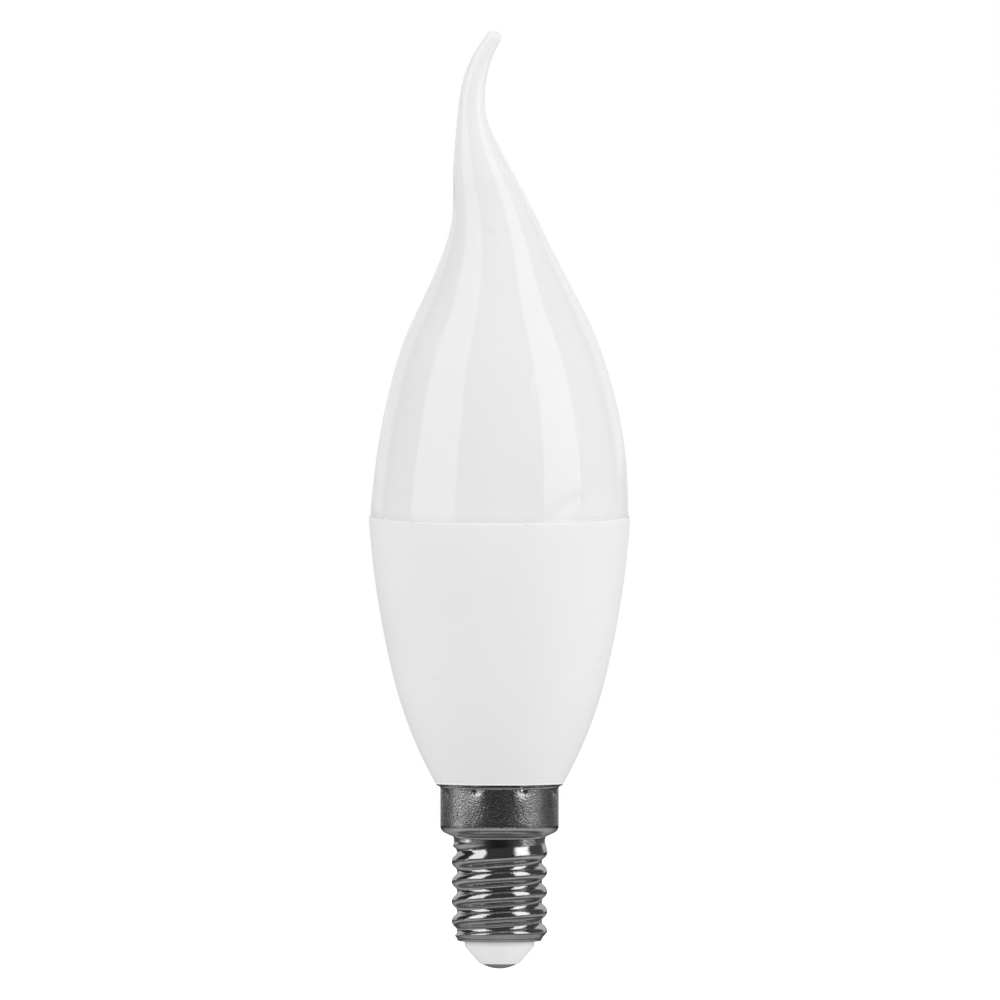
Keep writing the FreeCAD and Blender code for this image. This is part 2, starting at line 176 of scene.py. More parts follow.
class SmallPartSettings(bpy.types.PropertyGroup):
    insulator_face_radius: length(2.825, "Radius of the insulator's lower face")
    insulator_radius: length(5.0, "Radius of the insulator's collar")
    cone_height: length(2.5, "Height of the insulator's cone")
    contact_rise: length(0.61, "Height of the contact's dome")
    shank_radius: length(1.1, "Radius of the contact's shank")
    clench_radius: length(1.8, "Radius of the shank's clenched end")
    boss_radius: length(3.0, "Radius of the insulator's boss inside the cap")
    boss_height: length(0.9, "Height of the boss above the flange")
    flange_rise: length(0.3, "Rise of the flange's sloped under side")
    edge_round: length(0.09, "Rounding of the insulator's outer edges")
    segments: whole(128, "Steps in one turn", 16)
    insulator_tint: colour((0.9, 0.9, 0.9), "Colour of the insulator")
    contact_tint: colour((0.6, 0.6, 0.595), "Colour of the contact")


class StageSettings(bpy.types.PropertyGroup):
    camera_distance: number(3.0, "From the bulb's axis", unit="LENGTH")
    camera_height: turn(0.8, "Angle of the view from above")
    pixels_per_metre: number(7030, "Scale of the 1000 pixel frame")
    contact_row: number(968.7, "Row of the frame that shows the contact's foot")
    axis_column: number(499.5, "Column of the frame that shows the bulb's axis")
    light_distance: number(0.7, "From the axis to each light panel", unit="LENGTH")
    left_strength: number(1.25, "Brightness of the left panel")
    right_strength: number(1.4, "Brightness of the right panel")
    strip_share: number(1.2, "Brightness of the right strip, in right panels")
    fill: number(0.705, "Soft light from all round")
    fill_from_right: number(0.32, "How much stronger the fill is on the right")
    fill_from_left: number(0.03, "How much stronger the fill is on the left")
    floor_glow: number(0.48, "Light that the floor sends up by itself")


def settings():
    """All settings of the bulb."""
    return bpy.context.scene.candle_bulb


class CandleBulbSettings(bpy.types.PropertyGroup):
    diffuser: PointerProperty(type=DiffuserSettings)
    housing: PointerProperty(type=HousingSettings)
    cap: PointerProperty(type=CapSettings)
    small: PointerProperty(type=SmallPartSettings)
    stage: PointerProperty(type=StageSettings)


# Mesh building

def placed(name, data):
    """An object with the given data, in the scene."""
    item = bpy.data.objects.new(name, data)
    bpy.context.scene.collection.objects.link(item)
    return item


def finished_piece(bm, name, material, sharp_angle=40):
    """Merges points that meet, turns the faces outwards and makes the mesh an object."""
    bmesh.ops.remove_doubles(bm, verts=bm.verts, dist=MERGE_REACH)
    bmesh.ops.recalc_face_normals(bm, faces=bm.faces)
    mesh = bpy.data.meshes.new(name)
    bm.to_mesh(mesh)
    bm.free()
    mesh.shade_smooth()
    mesh.set_sharp_from_angle(angle=math.radians(sharp_angle))
    mesh.materials.append(material)
    return placed(name, mesh)


def settle(piece, node):
    """Hides the frame's node that the piece takes the place of, and hangs the piece on the root
    body.
    """
    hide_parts(node)
    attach(piece, "root")


def arc(start, end, radius, count):
    """Points of an arc that bows outwards, after start and up to end."""
    chord = end - start
    half = chord.length / 2
    normal = Vector((chord.y, -chord.x)).normalized()
    centre = (start + end) / 2 - normal * math.sqrt(max(radius * radius - half * half, 0))
    first = math.atan2(start.y - centre.y, start.x - centre.x)
    last = math.atan2(end.y - centre.y, end.x - centre.x)
    swing = (last - first + math.pi) % math.tau - math.pi
    turns = [first + swing * step / count for step in range(1, count + 1)]
    return [centre + Vector((math.cos(angle), math.sin(angle))) * radius for angle in turns]


def hollow_arc(start, end, radius, count):
    """Points of an arc that bows inwards, after start and up to end."""
    back = arc(end, start, radius, count)
    return list(reversed([end] + back[:-1]))


def straight(start, end, count):
    """Points of a straight line, after start and up to end."""
    return [start.lerp(end, step / count) for step in range(1, count + 1)]


def spun(outline, segments, closed=False):
    """Spins an outline of (radius, level) points once about the bulb's axis."""
    bm = bmesh.new()
    verts = [bm.verts.new((point.x, 0, point.y)) for point in outline]
    edges = [bm.edges.new(pair) for pair in zip(verts, verts[1:])]
    if closed:
        edges.append(bm.edges.new((verts[-1], verts[0])))
    bmesh.ops.spin(
        bm, geom=verts + edges, cent=(0, 0, 0), axis=(0, 0, 1), dvec=(0, 0, 0),
        angle=math.tau, steps=segments, use_merge=True,
    )
    bmesh.ops.remove_doubles(bm, verts=bm.verts, dist=MERGE_REACH)
    return bm


def round_edges(bm, edges, radius, steps):
    """Rounds the given edges."""
    bmesh.ops.bevel(
        bm, geom=edges, offset=radius, offset_type="OFFSET", segments=steps, profile=0.5,
        affect="EDGES", material=-1, clamp_overlap=True,
    )


def smooth_curve(knots, values):
    """A natural cubic spline through the values, as a function of the knots' measure."""
    knots = np.array(knots, float)
    values = np.array(values, float)
    gaps = np.diff(knots)
    slopes = np.diff(values) / gaps
    size = len(knots)
    system = np.eye(size)
    bends = np.zeros(size)
    for index in range(1, size - 1):
        system[index, index - 1] = gaps[index - 1]
        system[index, index] = 2 * (gaps[index - 1] + gaps[index])
        system[index, index + 1] = gaps[index]
        bends[index] = 6 * (slopes[index] - slopes[index - 1])
    curve = np.linalg.solve(system, bends)

    def value(place):
        index = int(np.clip(np.searchsorted(knots, place) - 1, 0, size - 2))
        gap = gaps[index]
        before = (knots[index + 1] - place) / gap
        after = (place - knots[index]) / gap
        bow = (before ** 3 - before) * curve[index] + (after ** 3 - after) * curve[index + 1]
        return before * values[index] + after * values[index + 1] + bow * gap * gap / 6

    return value


def add_ring(bm, edges, matrix, last_matrix):
    """Extrudes a ring of edges to its next place and returns the new ring."""
    grown = bmesh.ops.extrude_edge_only(bm, edges=edges)["geom"]
    verts = [item for item in grown if isinstance(item, bmesh.types.BMVert)]
    bmesh.ops.transform(bm, matrix=matrix @ last_matrix.inverted(), verts=verts)
    new = set(verts)
    return [
        item for item in grown
        if isinstance(item, bmesh.types.BMEdge) and item.verts[0] in new and item.verts[1] in new
    ]


def ring_chain(matrices, segments):
    """A closed skin through rings, each a unit circle placed by its matrix, with two poles."""
    bm = bmesh.new()
    bmesh.ops.create_circle(
        bm, cap_ends=True, cap_tris=True, radius=1, segments=segments, matrix=matrices[0],
    )
    edges = [edge for edge in bm.edges if edge.is_boundary]
    for last, matrix in zip(matrices, matrices[1:]):
        edges = add_ring(bm, edges, matrix, last)
    bmesh.ops.contextual_create(bm, geom=edges)
    cap = max(bm.faces, key=lambda face: len(face.verts))
    bmesh.ops.poke(bm, faces=[cap])
    return bm


def lean_seam(bm):
    """Dips the seam a little at the front, as on the bulb that was photographed."""
    sizes = settings().housing
    slope = math.tan(sizes.seam_lean)
    for vert in bm.verts:
        share = min(abs(vert.co.z - SEAM_LEVEL) / sizes.seam_reach, 1)
        vert.co.z += vert.co.y * slope * (1 - share ** 2) ** 2
    return bm


# Opal diffuser

def flame_curves(sizes):
    """The flame's lean and radius as smooth functions of height above the seam."""
    seam_radius = RIM_RADIUS - sizes.seam_step
    heights = [share * sizes.flame_height for share, _lean, _width in FLAME]
    lean = smooth_curve(heights, [-share * sizes.flame_lean for _height, share, _width in FLAME])
    radius = smooth_curve(heights, [share * seam_radius for _height, _lean, share in FLAME])
    return lean, radius


def flame_ring(curves, height, inset=0.0, climb=0.2 * MM):
    """Matrix of the ring at a height above the seam, square to the flame's bent centre line."""
    lean, radius = curves
    tilt = math.atan2(lean(height + climb) - lean(height - climb), 2 * climb) if height else 0
    place = Matrix.Translation((lean(height), 0, SEAM_LEVEL + height))
    size = max(radius(height) - inset, SAME)
    return place @ Matrix.Rotation(tilt, 4, "Y") @ Matrix.Scale(size, 4)


def level_ring(radius, level):
    """Matrix of a level ring on the axis."""
    return Matrix.Translation((0, 0, level)) @ Matrix.Scale(radius, 4)


def diffuser_mesh(sizes, inner_rows=24, crown_rows=12):
    """Opal wall from the hollow's top, down its inside, round the spigot and up to the tip."""
    curves = flame_curves(sizes)
    inner = [
        flame_ring(curves, sizes.hollow_height * (1 - row / inner_rows), sizes.wall)
        for row in range(inner_rows)
    ]
    spigot_radius = RIM_RADIUS - sizes.mouth_wall - sizes.spigot_clearance
    spigot_low = DIFFUSER_LOW.z
    spigot = [
        level_ring(spigot_radius - sizes.spigot_wall, SEAM_LEVEL + sizes.wall),
        level_ring(spigot_radius - sizes.spigot_wall, spigot_low),
        level_ring(spigot_radius, spigot_low),
        level_ring(spigot_radius, SEAM_LEVEL),
    ]
    outer = [
        flame_ring(curves, sizes.flame_height * row / sizes.rows) for row in range(sizes.rows + 1)
    ]
    crown_top = outer[-1]
    crown = []
    for row in range(1, crown_rows):
        angle = math.pi / 2 * row / crown_rows
        lifted = crown_top @ Matrix.Translation((0, 0, math.sin(angle)))
        crown.append(lifted @ Matrix.Scale(math.cos(angle), 4))
    return lean_seam(ring_chain(inner + spigot + outer + crown, sizes.segments))


# Housing

def housing_outline(sizes, lower_rows=30, upper_rows=40, rim_rows=5):
    """Half section: neck, foot, the two arcs of the outside, rim and mouth."""
    foot = Vector((CAP_HIGH.x + sizes.overhang, CAP_TOP))
    rim = Vector((RIM_RADIUS, SEAM_LEVEL))
    share = sizes.joint_height / (rim.y - foot.y)
    joint = foot.lerp(rim, share) + Vector((sizes.bulge, 0))
    top = Vector((rim.x, rim.y - sizes.rim_round))
    upper = top - joint
    lower = joint - foot
    tangent = math.atan2(upper.x, upper.y) + math.asin(upper.length / 2 / sizes.upper_radius)
    lower_radius = lower.length / 2 / math.sin(math.atan2(lower.x, lower.y) - tangent)
    outside = [foot] + arc(foot, joint, lower_radius, lower_rows)
    outside += arc(joint, top, sizes.upper_radius, upper_rows)
    mouth_radius = RIM_RADIUS - settings().diffuser.mouth_wall
    mouth_level = SEAM_LEVEL - sizes.mouth_depth
    neck = [
        Vector((0, HOUSING_LOW.z)),
        Vector((sizes.neck_radius, HOUSING_LOW.z)),
        Vector((sizes.neck_radius, CAP_TOP)),
    ]
    mouth = [
        Vector((rim.x - sizes.rim_round, SEAM_LEVEL)),
        Vector((mouth_radius, SEAM_LEVEL)),
        Vector((mouth_radius, mouth_level)),
        Vector((0, mouth_level)),
    ]
    rounded = arc(top, mouth[0], sizes.rim_round, rim_rows)
    return neck + outside + rounded[:-1] + mouth


def housing_mesh(sizes):
    """Closed moulding with a rounded foot."""
    bm = spun(housing_outline(sizes), sizes.segments)
    foot_radius = CAP_HIGH.x + sizes.overhang
    edges = [
        edge for edge in bm.edges
        if all(
            abs(vert.co.z - CAP_TOP) < SAME and abs(vert.co.xy.length - foot_radius) < SAME
            for vert in edge.verts
        )
    ]
    round_edges(bm, edges, sizes.foot_round, 5)
    return lean_seam(bm)


# Screw cap

# Rows of points on each stretch of the cap's half section.
CAP_ROWS = {
    "foot": 8, "band": 6, "thread": 118, "waist": 4, "fillet": 8, "slope": 3, "shoulder": 12,
    "skirt": 34, "flare": 8, "inner_skirt": 12, "inner_thread": 50,
}

# Height of the plain band above the foot, outside and inside the sheet, in foot roundings.
BAND_SHARE = 2.2
INNER_BAND_SHARE = 3

# Slope at which the first crest rises out of the band, and the reach of its rounding.
BAND_RISE = 1.2
BAND_BLEND = 0.4 * MM

# Crimp dimples: degrees turned and millimetres lifted from an even ring, and size.
DIMPLES = [
    (0, 0.1, 1), (1, -0.05, 0.95), (-1, 0.1, 1.1), (2, 0, 0.9), (3.5, -0.6, 0.75),
    (-0.5, 0, 1.05), (0.8, 0, 1.1), (1.5, -0.35, 0.75),
]

# A dimple is a pit in a dish: share of the depth, and how fast each falls off.
DIMPLE_SHAPE = [(0.72, 1.1), (0.28, 0.22)]

# Dimple radii past which the sheet is plain.
DIMPLE_REACH = 5


def thread_end(sizes):
    """Level at which the thread has run out into the waist."""
    return CAP_LOW.z + sizes.thread_pitch * (sizes.thread_turns + sizes.runout_turns)


def cap_outline(sizes):
    """Closed half section of the sheet: its outside from the foot up, then its inside down."""
    low = CAP_LOW.z
    foot_flat = sizes.foot_radius - sizes.foot_round
    thread_top = thread_end(sizes)
    waist_top = thread_top + sizes.waist_length
    waist = sizes.waist_radius
    skirt = sizes.crest_radius + sizes.shoulder_width
    sine = math.sin(sizes.shoulder_slope)
    cosine = math.cos(sizes.shoulder_slope)
    fillet = sizes.waist_fillet
    rounding = sizes.shoulder_radius
    slope_width = skirt - waist - (fillet + rounding) * (1 - cosine)
    slope_low = waist_top + fillet * sine
    slope_high = slope_low + slope_width * cosine / sine
    skirt_low = slope_high + rounding * sine
    flare_low = skirt_low + sizes.skirt_length
    crest = sizes.crest_radius
    wall = sizes.wall
    rows = CAP_ROWS

    outside = [Vector((sizes.hole_radius, low)), Vector((foot_flat, low))]
    foot_top = Vector((sizes.foot_radius, low + sizes.foot_round))
    outside += arc(outside[-1], foot_top, sizes.foot_round, rows["foot"])
    band_top = Vector((crest, low + BAND_SHARE * sizes.foot_round))
    outside += straight(foot_top, band_top, rows["band"])
    outside += straight(band_top, Vector((crest, thread_top)), rows["thread"])
    outside += straight(Vector((waist, thread_top)), Vector((waist, waist_top)), rows["waist"])
    slope_start = Vector((waist + fillet * (1 - cosine), slope_low))
    outside += hollow_arc(outside[-1], slope_start, fillet, rows["fillet"])
    slope_end = Vector((skirt - rounding * (1 - cosine), slope_high))
    outside += straight(outside[-1], slope_end, rows["slope"])
    outside += arc(outside[-1], Vector((skirt, skirt_low)), rounding, rows["shoulder"])
    outside += straight(outside[-1], Vector((skirt, flare_low)), rows["skirt"])
    for step in range(1, rows["flare"] + 1):
        angle = math.pi / 2 * step / rows["flare"]
        out = sizes.flare_spread * (1 - math.cos(angle))
        outside.append(Vector((skirt + out, flare_low + sizes.flare_height * math.sin(angle))))
    outside.append(Vector((skirt + sizes.flare_spread, CAP_TOP)))

    inside = [Vector((skirt + sizes.flare_spread - wall, CAP_TOP))]
    inside.append(Vector((skirt - wall, flare_low)))
    inside += straight(inside[-1], Vector((skirt - wall, skirt_low)), rows["inner_skirt"])
    inside.append(Vector((waist - wall, waist_top)))
    inside.append(Vector((crest - wall, thread_top)))
    inner_band = Vector((crest - wall, low + INNER_BAND_SHARE * sizes.foot_round))
    inside += straight(inside[-1], inner_band, rows["inner_thread"])
    inside.append(Vector((sizes.foot_radius - sizes.foot_round - wall / 2, low + wall)))
    inside.append(Vector((sizes.hole_radius, low + wall)))
    return outside + inside


def groove_depth(sizes, level, angle):
    """Depth of the rolled groove at a level and an angle, with round crests and round roots."""
    turns = (level - CAP_LOW.z) / sizes.thread_pitch - (angle - sizes.thread_start) / math.tau
    from_crest = abs(turns - round(turns)) * sizes.thread_pitch
    half = sizes.thread_pitch / 2
    slope = 2 * math.atan(sizes.thread_depth / half)
    both = half / math.sin(slope)
    crest = both * sizes.crest_share
    root = both - crest
    if from_crest < crest * math.sin(slope):
        return crest - math.sqrt(crest ** 2 - from_crest ** 2)
    return sizes.thread_depth - root + math.sqrt(root ** 2 - (half - from_crest) ** 2)


def eased(share):
    """A share that starts and ends softly, from 0 to 1."""
    share = min(max(share, 0), 1)
    return share * share * (3 - 2 * share)


def thread_radius(sizes, level, angle):
    """Radius of the threaded sheet, which runs out into the plain waist."""
    height = (level - CAP_LOW.z) / sizes.thread_pitch
    along = (angle - sizes.thread_start) / math.tau
    groove = math.floor(height - along)
    past = groove + 0.5 + along - sizes.thread_turns
    faded = eased(past / sizes.fade_turns)
    before = eased((past - 1) / sizes.fade_turns)
    rise = before + (1 - before) * eased(2 * (height - along - groove))
    waist_depth = sizes.crest_radius - sizes.waist_radius
    depth = groove_depth(sizes, level, angle) * (1 - faded) + waist_depth * rise * faded
    depth = max(depth, waist_depth * eased((height - sizes.thread_turns) / sizes.narrow_turns))
    return soft_least(sizes.crest_radius - depth, band_limit(sizes, level), BAND_BLEND)


def soft_least(first, second, reach):
    """The lesser of two lengths, rounded where they come within reach of each other."""
    near = max(reach - abs(first - second), 0) / reach
    return min(first, second) - near * near * reach / 4


def band_limit(sizes, level):
    """Greatest radius above the foot, where the first crest rises out of the plain band."""
    foot_top = CAP_LOW.z + sizes.foot_round
    return sizes.foot_radius + max(level - foot_top, 0) * BAND_RISE


def dimple_push(sizes, dimples, level, angle):
    """How far the crimp pushes the skirt in at a level and an angle."""
    skirt = sizes.crest_radius + sizes.shoulder_width
    push = 0.0
    for dimple_angle, dimple_level, size in dimples:
        across = ((angle - dimple_angle + math.pi) % math.tau - math.pi) * skirt
        distance = math.hypot(across, level - dimple_level) / (sizes.dimple_radius * size)
        if distance < DIMPLE_REACH:
            shape = sum(share * math.exp(-distance ** 2 * fall) for share, fall in DIMPLE_SHAPE)
            push += sizes.dimple_depth * size * size * shape
    return push


def crimp_dimples(sizes):
    """Angle, level and size of each punched dimple, a little uneven like the real ones."""
    level = CAP_TOP - sizes.dimple_drop
    step = 360 / len(DIMPLES)
    return [
        (math.radians((index + 0.5) * step + turned), level + lift * MM, size)
        for index, (turned, lift, size) in enumerate(DIMPLES)
    ]


def cap_mesh(sizes):
    """Rolled sheet: the spun section, its thread pressed in, then its dimples."""
    bm = spun(cap_outline(sizes), sizes.segments, closed=True)
    dimples = crimp_dimples(sizes)
    skirt = sizes.crest_radius + sizes.shoulder_width
    thread_top = thread_end(sizes)
    band_top = CAP_LOW.z + BAND_SHARE * sizes.foot_round
    dimples_low = CAP_TOP - 3.3 * MM
    least_push = 0.01 * MM
    inner_radius = sizes.crest_radius - sizes.wall - 0.01 * MM
    near = [
        edge for edge in bm.edges
        if all(
            dimple_push(sizes, dimples, vert.co.z, math.atan2(vert.co.y, vert.co.x)) > least_push
            and abs(vert.co.xy.length - skirt) < 0.05 * MM
            for vert in edge.verts
        )
    ]
    bmesh.ops.subdivide_edges(bm, edges=near, cuts=1, use_grid_fill=True)
    for vert in bm.verts:
        radius = vert.co.xy.length
        angle = math.atan2(vert.co.y, vert.co.x)
        new = radius
        if band_top < vert.co.z < thread_top + SAME and radius > inner_radius:
            new = thread_radius(sizes, vert.co.z, angle) + radius - sizes.crest_radius
        elif vert.co.z < thread_top and radius > sizes.foot_radius:
            new = thread_radius(sizes, vert.co.z, angle)
        elif vert.co.z > dimples_low:
            new = radius - dimple_push(sizes, dimples, vert.co.z, angle)
        vert.co.x *= new / radius
        vert.co.y *= new / radius
    return bm


# Insulator and contact

def insulator_mesh(sizes):
    """Cone and collar under the cap, with the flange and boss inside it."""
    low = INSULATOR_LOW.z
    collar = low + sizes.cone_height
    seat = CAP_LOW.z + settings().cap.wall
    flange = INSULATOR_HIGH.x
    top = INSULATOR_HIGH.z
    outline = [
        Vector((sizes.shank_radius, low)),
        Vector((sizes.insulator_face_radius, low)),
        Vector((sizes.insulator_radius, collar)),
        Vector((sizes.insulator_radius, seat)),
        Vector((flange, seat + sizes.flange_rise)),
        Vector((flange, top - sizes.boss_height)),
        Vector((sizes.boss_radius, top - sizes.boss_height)),
        Vector((sizes.boss_radius, top)),
        Vector((sizes.shank_radius, top)),
    ]
    bm = spun(outline, sizes.segments, closed=True)
    edges = [
        edge for edge in bm.edges
        if abs(edge.verts[0].co.z - edge.verts[1].co.z) < SAME
        and edge.verts[0].co.z < seat - 0.1 * MM
        and edge.verts[0].co.xy.length > sizes.clench_radius
    ]
    round_edges(bm, edges, sizes.edge_round, 4)
    return bm


def contact_mesh(sizes, dome_rows=24):
    """Domed contact with a turned edge and its shank."""
    radius = CONTACT_HIGH.x
    rise = sizes.contact_rise
    dome = (radius * radius + rise * rise) / (2 * rise)
    low = Vector((0, 0))
    edge = Vector((radius, rise))
    face = INSULATOR_LOW.z
    outline = [low] + arc(low, edge, dome, dome_rows)
    outline += [
        Vector((radius, face)),
        Vector((sizes.shank_radius, face)),
        Vector((sizes.shank_radius, INSULATOR_HIGH.z)),
        Vector((sizes.clench_radius, INSULATOR_HIGH.z)),
        Vector((sizes.clench_radius, CONTACT_HIGH.z)),
        Vector((0, CONTACT_HIGH.z)),
    ]
    return spun(outline, sizes.segments)


# Materials

class Tree:
    """Adds nodes to a node tree and links their sockets."""

    def __init__(self, tree):
        self.nodes = tree.nodes
        self.links = tree.links

    def add(self, kind, inputs=None, **attributes):
        node = self.nodes.new("ShaderNode" + kind)
        for name, value in attributes.items():
            setattr(node, name, value)
        self.supply(node, inputs or {})
        return node

    def supply(self, node, inputs):
        for name, value in inputs.items():
            self.feed(node.inputs[name], value)

    def feed(self, socket, value):
        if isinstance(value, bpy.types.NodeSocket):
            self.links.new(value, socket)
        else:
            socket.default_value = value

    def sum(self, operation, *values):
        return self.add("Math", dict(enumerate(values)), operation=operation).outputs["Value"]

    def vector(self, operation, *values):
        node = self.add("VectorMath", dict(enumerate(values)), operation=operation)
        return node.outputs["Vector"]

    def size(self, vector):
        return self.add("VectorMath", {0: vector}, operation="LENGTH").outputs["Value"]

    def part(self, vector, axis):
        return self.add("SeparateXYZ", {"Vector": vector}).outputs[axis]

    def spread(self, value, low, high, new_low, new_high):
        node = self.add("MapRange", {
            "Value": value, "From Min": low, "From Max": high,
            "To Min": new_low, "To Max": new_high,
        })
        return node.outputs["Result"]

    def blend(self, share, first, second):
        node = self.add("Mix", {"Factor": share, "A": first, "B": second}, data_type="RGBA")
        return node.outputs["Result"]


def new_group(name, inputs, outputs):
    """An effect's node group: its tree, what it is given, and its inner end."""
    group = bpy.data.node_groups.new(name, "ShaderNodeTree")
    new_socket = group.interface.new_socket
    new_socket(name="Vector", in_out="INPUT", socket_type="NodeSocketVector")
    for socket, default in inputs.items():
        item = new_socket(name=socket, in_out="INPUT", socket_type="NodeSocketFloat")
        item.default_value = default
    for socket in outputs:
        new_socket(name=socket, in_out="OUTPUT", socket_type="NodeSocketFloat")
    given = group.nodes.new("NodeGroupInput").outputs
    return group, Tree(group), given, group.nodes.new("NodeGroupOutput")


def speck_group():
    """Small scattered specks, as a mask."""
    group, tree, given, end = new_group(
        "dust_specks", {"Scale": 400.0, "Size": 0.1, "Amount": 0.1}, ["Mask"],
    )
    cells = tree.add("TexVoronoi", {
        "Vector": given["Vector"], "Scale": given["Scale"], "Randomness": 1.0,
    })
    near = tree.sum("LESS_THAN", cells.outputs["Distance"], given["Size"])
    chosen = tree.add("SeparateColor", {"Color": cells.outputs["Color"]})
    few = tree.sum("LESS_THAN", chosen.outputs["Red"], given["Amount"])
    tree.supply(end, {"Mask": tree.sum("MULTIPLY", near, few)})
    return group


def grain_group():
    """Fine grain of a moulded or plated surface, as a height and a mask of slow change."""
    group, tree, given, end = new_group(
        "surface_grain", {"Fine Scale": 3000.0, "Slow Scale": 60.0}, ["Height", "Mask"],
    )
    fine = tree.add("TexNoise", {
        "Vector": given["Vector"], "Scale": given["Fine Scale"], "Detail": 3.0, "Roughness": 0.55,
    })
    slow = tree.add("TexNoise", {
        "Vector": given["Vector"], "Scale": given["Slow Scale"], "Detail": 2.0,
    })
    tree.supply(end, {"Height": fine.outputs["Fac"], "Mask": slow.outputs["Fac"]})
    return group


def effect(tree, name, **inputs):
    """Places an effect's group in a material."""
    makers = {"dust_specks": speck_group, "surface_grain": grain_group}
    group = bpy.data.node_groups.get(name) or makers[name]()
    node = tree.add("Group", node_tree=group)
    tree.supply(node, {socket.replace("_", " "): value for socket, value in inputs.items()})
    return node


def empty_tree(owner):
    """The emptied node tree of a material or a world."""
    owner.use_nodes = True
    owner.node_tree.nodes.clear()
    return Tree(owner.node_tree)


def new_material(name):
    """An empty material with its shader and its object coordinates."""
    material = bpy.data.materials.new(name)
    tree = empty_tree(material)
    shader = tree.add("BsdfPrincipled")
    output = tree.add("OutputMaterial")
    tree.links.new(shader.outputs["BSDF"], output.inputs["Surface"])
    place = tree.add("TexCoord").outputs["Object"]
    return material, tree, shader, place


def dimmed(tint, share):
    """A darker or, with a share above 1, a lighter tone of a colour."""
    return (tint[0] * share, tint[1] * share, tint[2] * share, 1)


def above_rim(tree, place):
    """Height above the cap's rim, in metres."""
    return tree.sum("SUBTRACT", tree.part(place, "Z"), CAP_TOP)


def above_seam(tree, place):
    """Height above the leaning seam, in metres."""
    slope = math.tan(settings().housing.seam_lean)
    above = tree.sum("SUBTRACT", tree.part(place, "Z"), SEAM_LEVEL)
    return tree.sum("MULTIPLY_ADD", tree.part(place, "Y"), -slope, above)


# Half length, in metres, of a mark that reaches through the whole piece.
ANY_DEPTH = 1000

# Painted light along edges: a painted highlight line on the opal just above the seam, painted
# highlight lines on the housing's rim and foot, and a painted shadow along the cap's rim; each as
# the levels between which it fades, measured from its edge.
SEAM_HIGHLIGHT = (0.15 * MM, 0.35 * MM)
RIM_HIGHLIGHT = (-0.12 * MM, -0.05 * MM)
FOOT_HIGHLIGHT = (0.22 * MM, 0.3 * MM)
CAP_RIM_SHADOW = (-0.15 * MM, -0.1 * MM)

# Levels below the cap's rim between which the mottle grows from the thread's to the skirt's.
MOTTLE_RISE = (-7.5 * MM, -5.0 * MM)


def marked(tree, place, colour_below, tint, marks):
    """Small marks on the camera's side: place across, level, half length, half height, tone."""
    front = tree.sum("LESS_THAN", tree.part(place, "Y"), 1.0 * MM)
    for across, level, long, high, tone in marks:
        off = tree.vector("SUBTRACT", place, (across * MM, 0, level * MM))
        share = tree.vector("DIVIDE", off, (long * MM, ANY_DEPTH, high * MM))
        mask = tree.sum("MULTIPLY", tree.spread(tree.size(share), 0.5, 1.0, 1.0, 0.0), front)
        colour_below = tree.blend(mask, colour_below, dimmed(tint, tone))
    return colour_below


# Marks on the diffuser, in millimetres: faint spots, a short streak and the gate mark on the tip.
DIFFUSER_MARKS = [
    (-1.48, 105.1, 0.8, 0.8, 0.965), (6.06, 100.7, 0.8, 0.8, 0.965),
    (4.8, 83.1, 0.35, 2.2, 1.04), (-0.35, 133.05, 0.2, 0.28, 1.1),
    (-0.52, 133.2, 0.07, 0.08, 0.35), (-0.4, 133.05, 0.07, 0.08, 0.3),
    (-0.26, 132.88, 0.07, 0.08, 0.35),
]

# Marks on the housing, in millimetres: darker spots along the seam, with painted shade at the
# seam's two ends, and one lighter spot; then dust and smudges below it.
HOUSING_MARKS_AND_SHADE = [
    (-12.4, 63.6, 0.42, 0.1, 0.82), (-6.64, 63.38, 0.09, 0.1, 0.86),
    (3.8, 63.34, 0.6, 0.07, 0.8), (5.55, 63.5, 0.11, 0.11, 1.19),
    (11.27, 63.45, 0.1, 0.1, 0.88), (-18.35, 64.4, 0.16, 0.1, 0.6),
    (18.2, 64.22, 0.2, 0.09, 0.7), (-9.16, 41.6, 0.5, 0.2, 0.95),
    (-5.25, 41.55, 0.4, 0.16, 0.94), (-4.18, 40.1, 0.12, 0.12, 0.85),
    (8.17, 51.1, 0.12, 0.12, 0.8), (10.75, 40.7, 0.12, 0.12, 0.85),
    (13.46, 42.5, 0.12, 0.12, 0.85), (14.45, 44.5, 0.12, 0.12, 0.85),
    (5.2, 40.9, 1.6, 0.12, 0.965), (-10.7, 59.0, 0.12, 0.12, 0.87),
    (-16.3, 57.4, 0.12, 0.12, 0.87), (3.3, 60.3, 0.1, 0.1, 0.87),
]


def grained(tree, shader, place, scales, tones, roughness, bump):
    """A fine grain as bump, and slow clouds in roughness and tone; returns the tone."""
    fine_scale, slow_scale = scales
    grain = effect(
        tree, "surface_grain", Vector=place, Fine_Scale=fine_scale, Slow_Scale=slow_scale,
    )
    mask = grain.outputs["Mask"]
    strength, distance = bump
    relief = tree.add("Bump", {
        "Strength": strength, "Distance": distance, "Height": grain.outputs["Height"],
    })
    tree.supply(shader, {
        "Roughness": tree.spread(mask, 0.3, 0.7, *roughness), "Normal": relief.outputs["Normal"],
    })
    low, high, *tints = tones
    return tree.blend(tree.spread(mask, low, high, 0.0, 1.0), *tints)


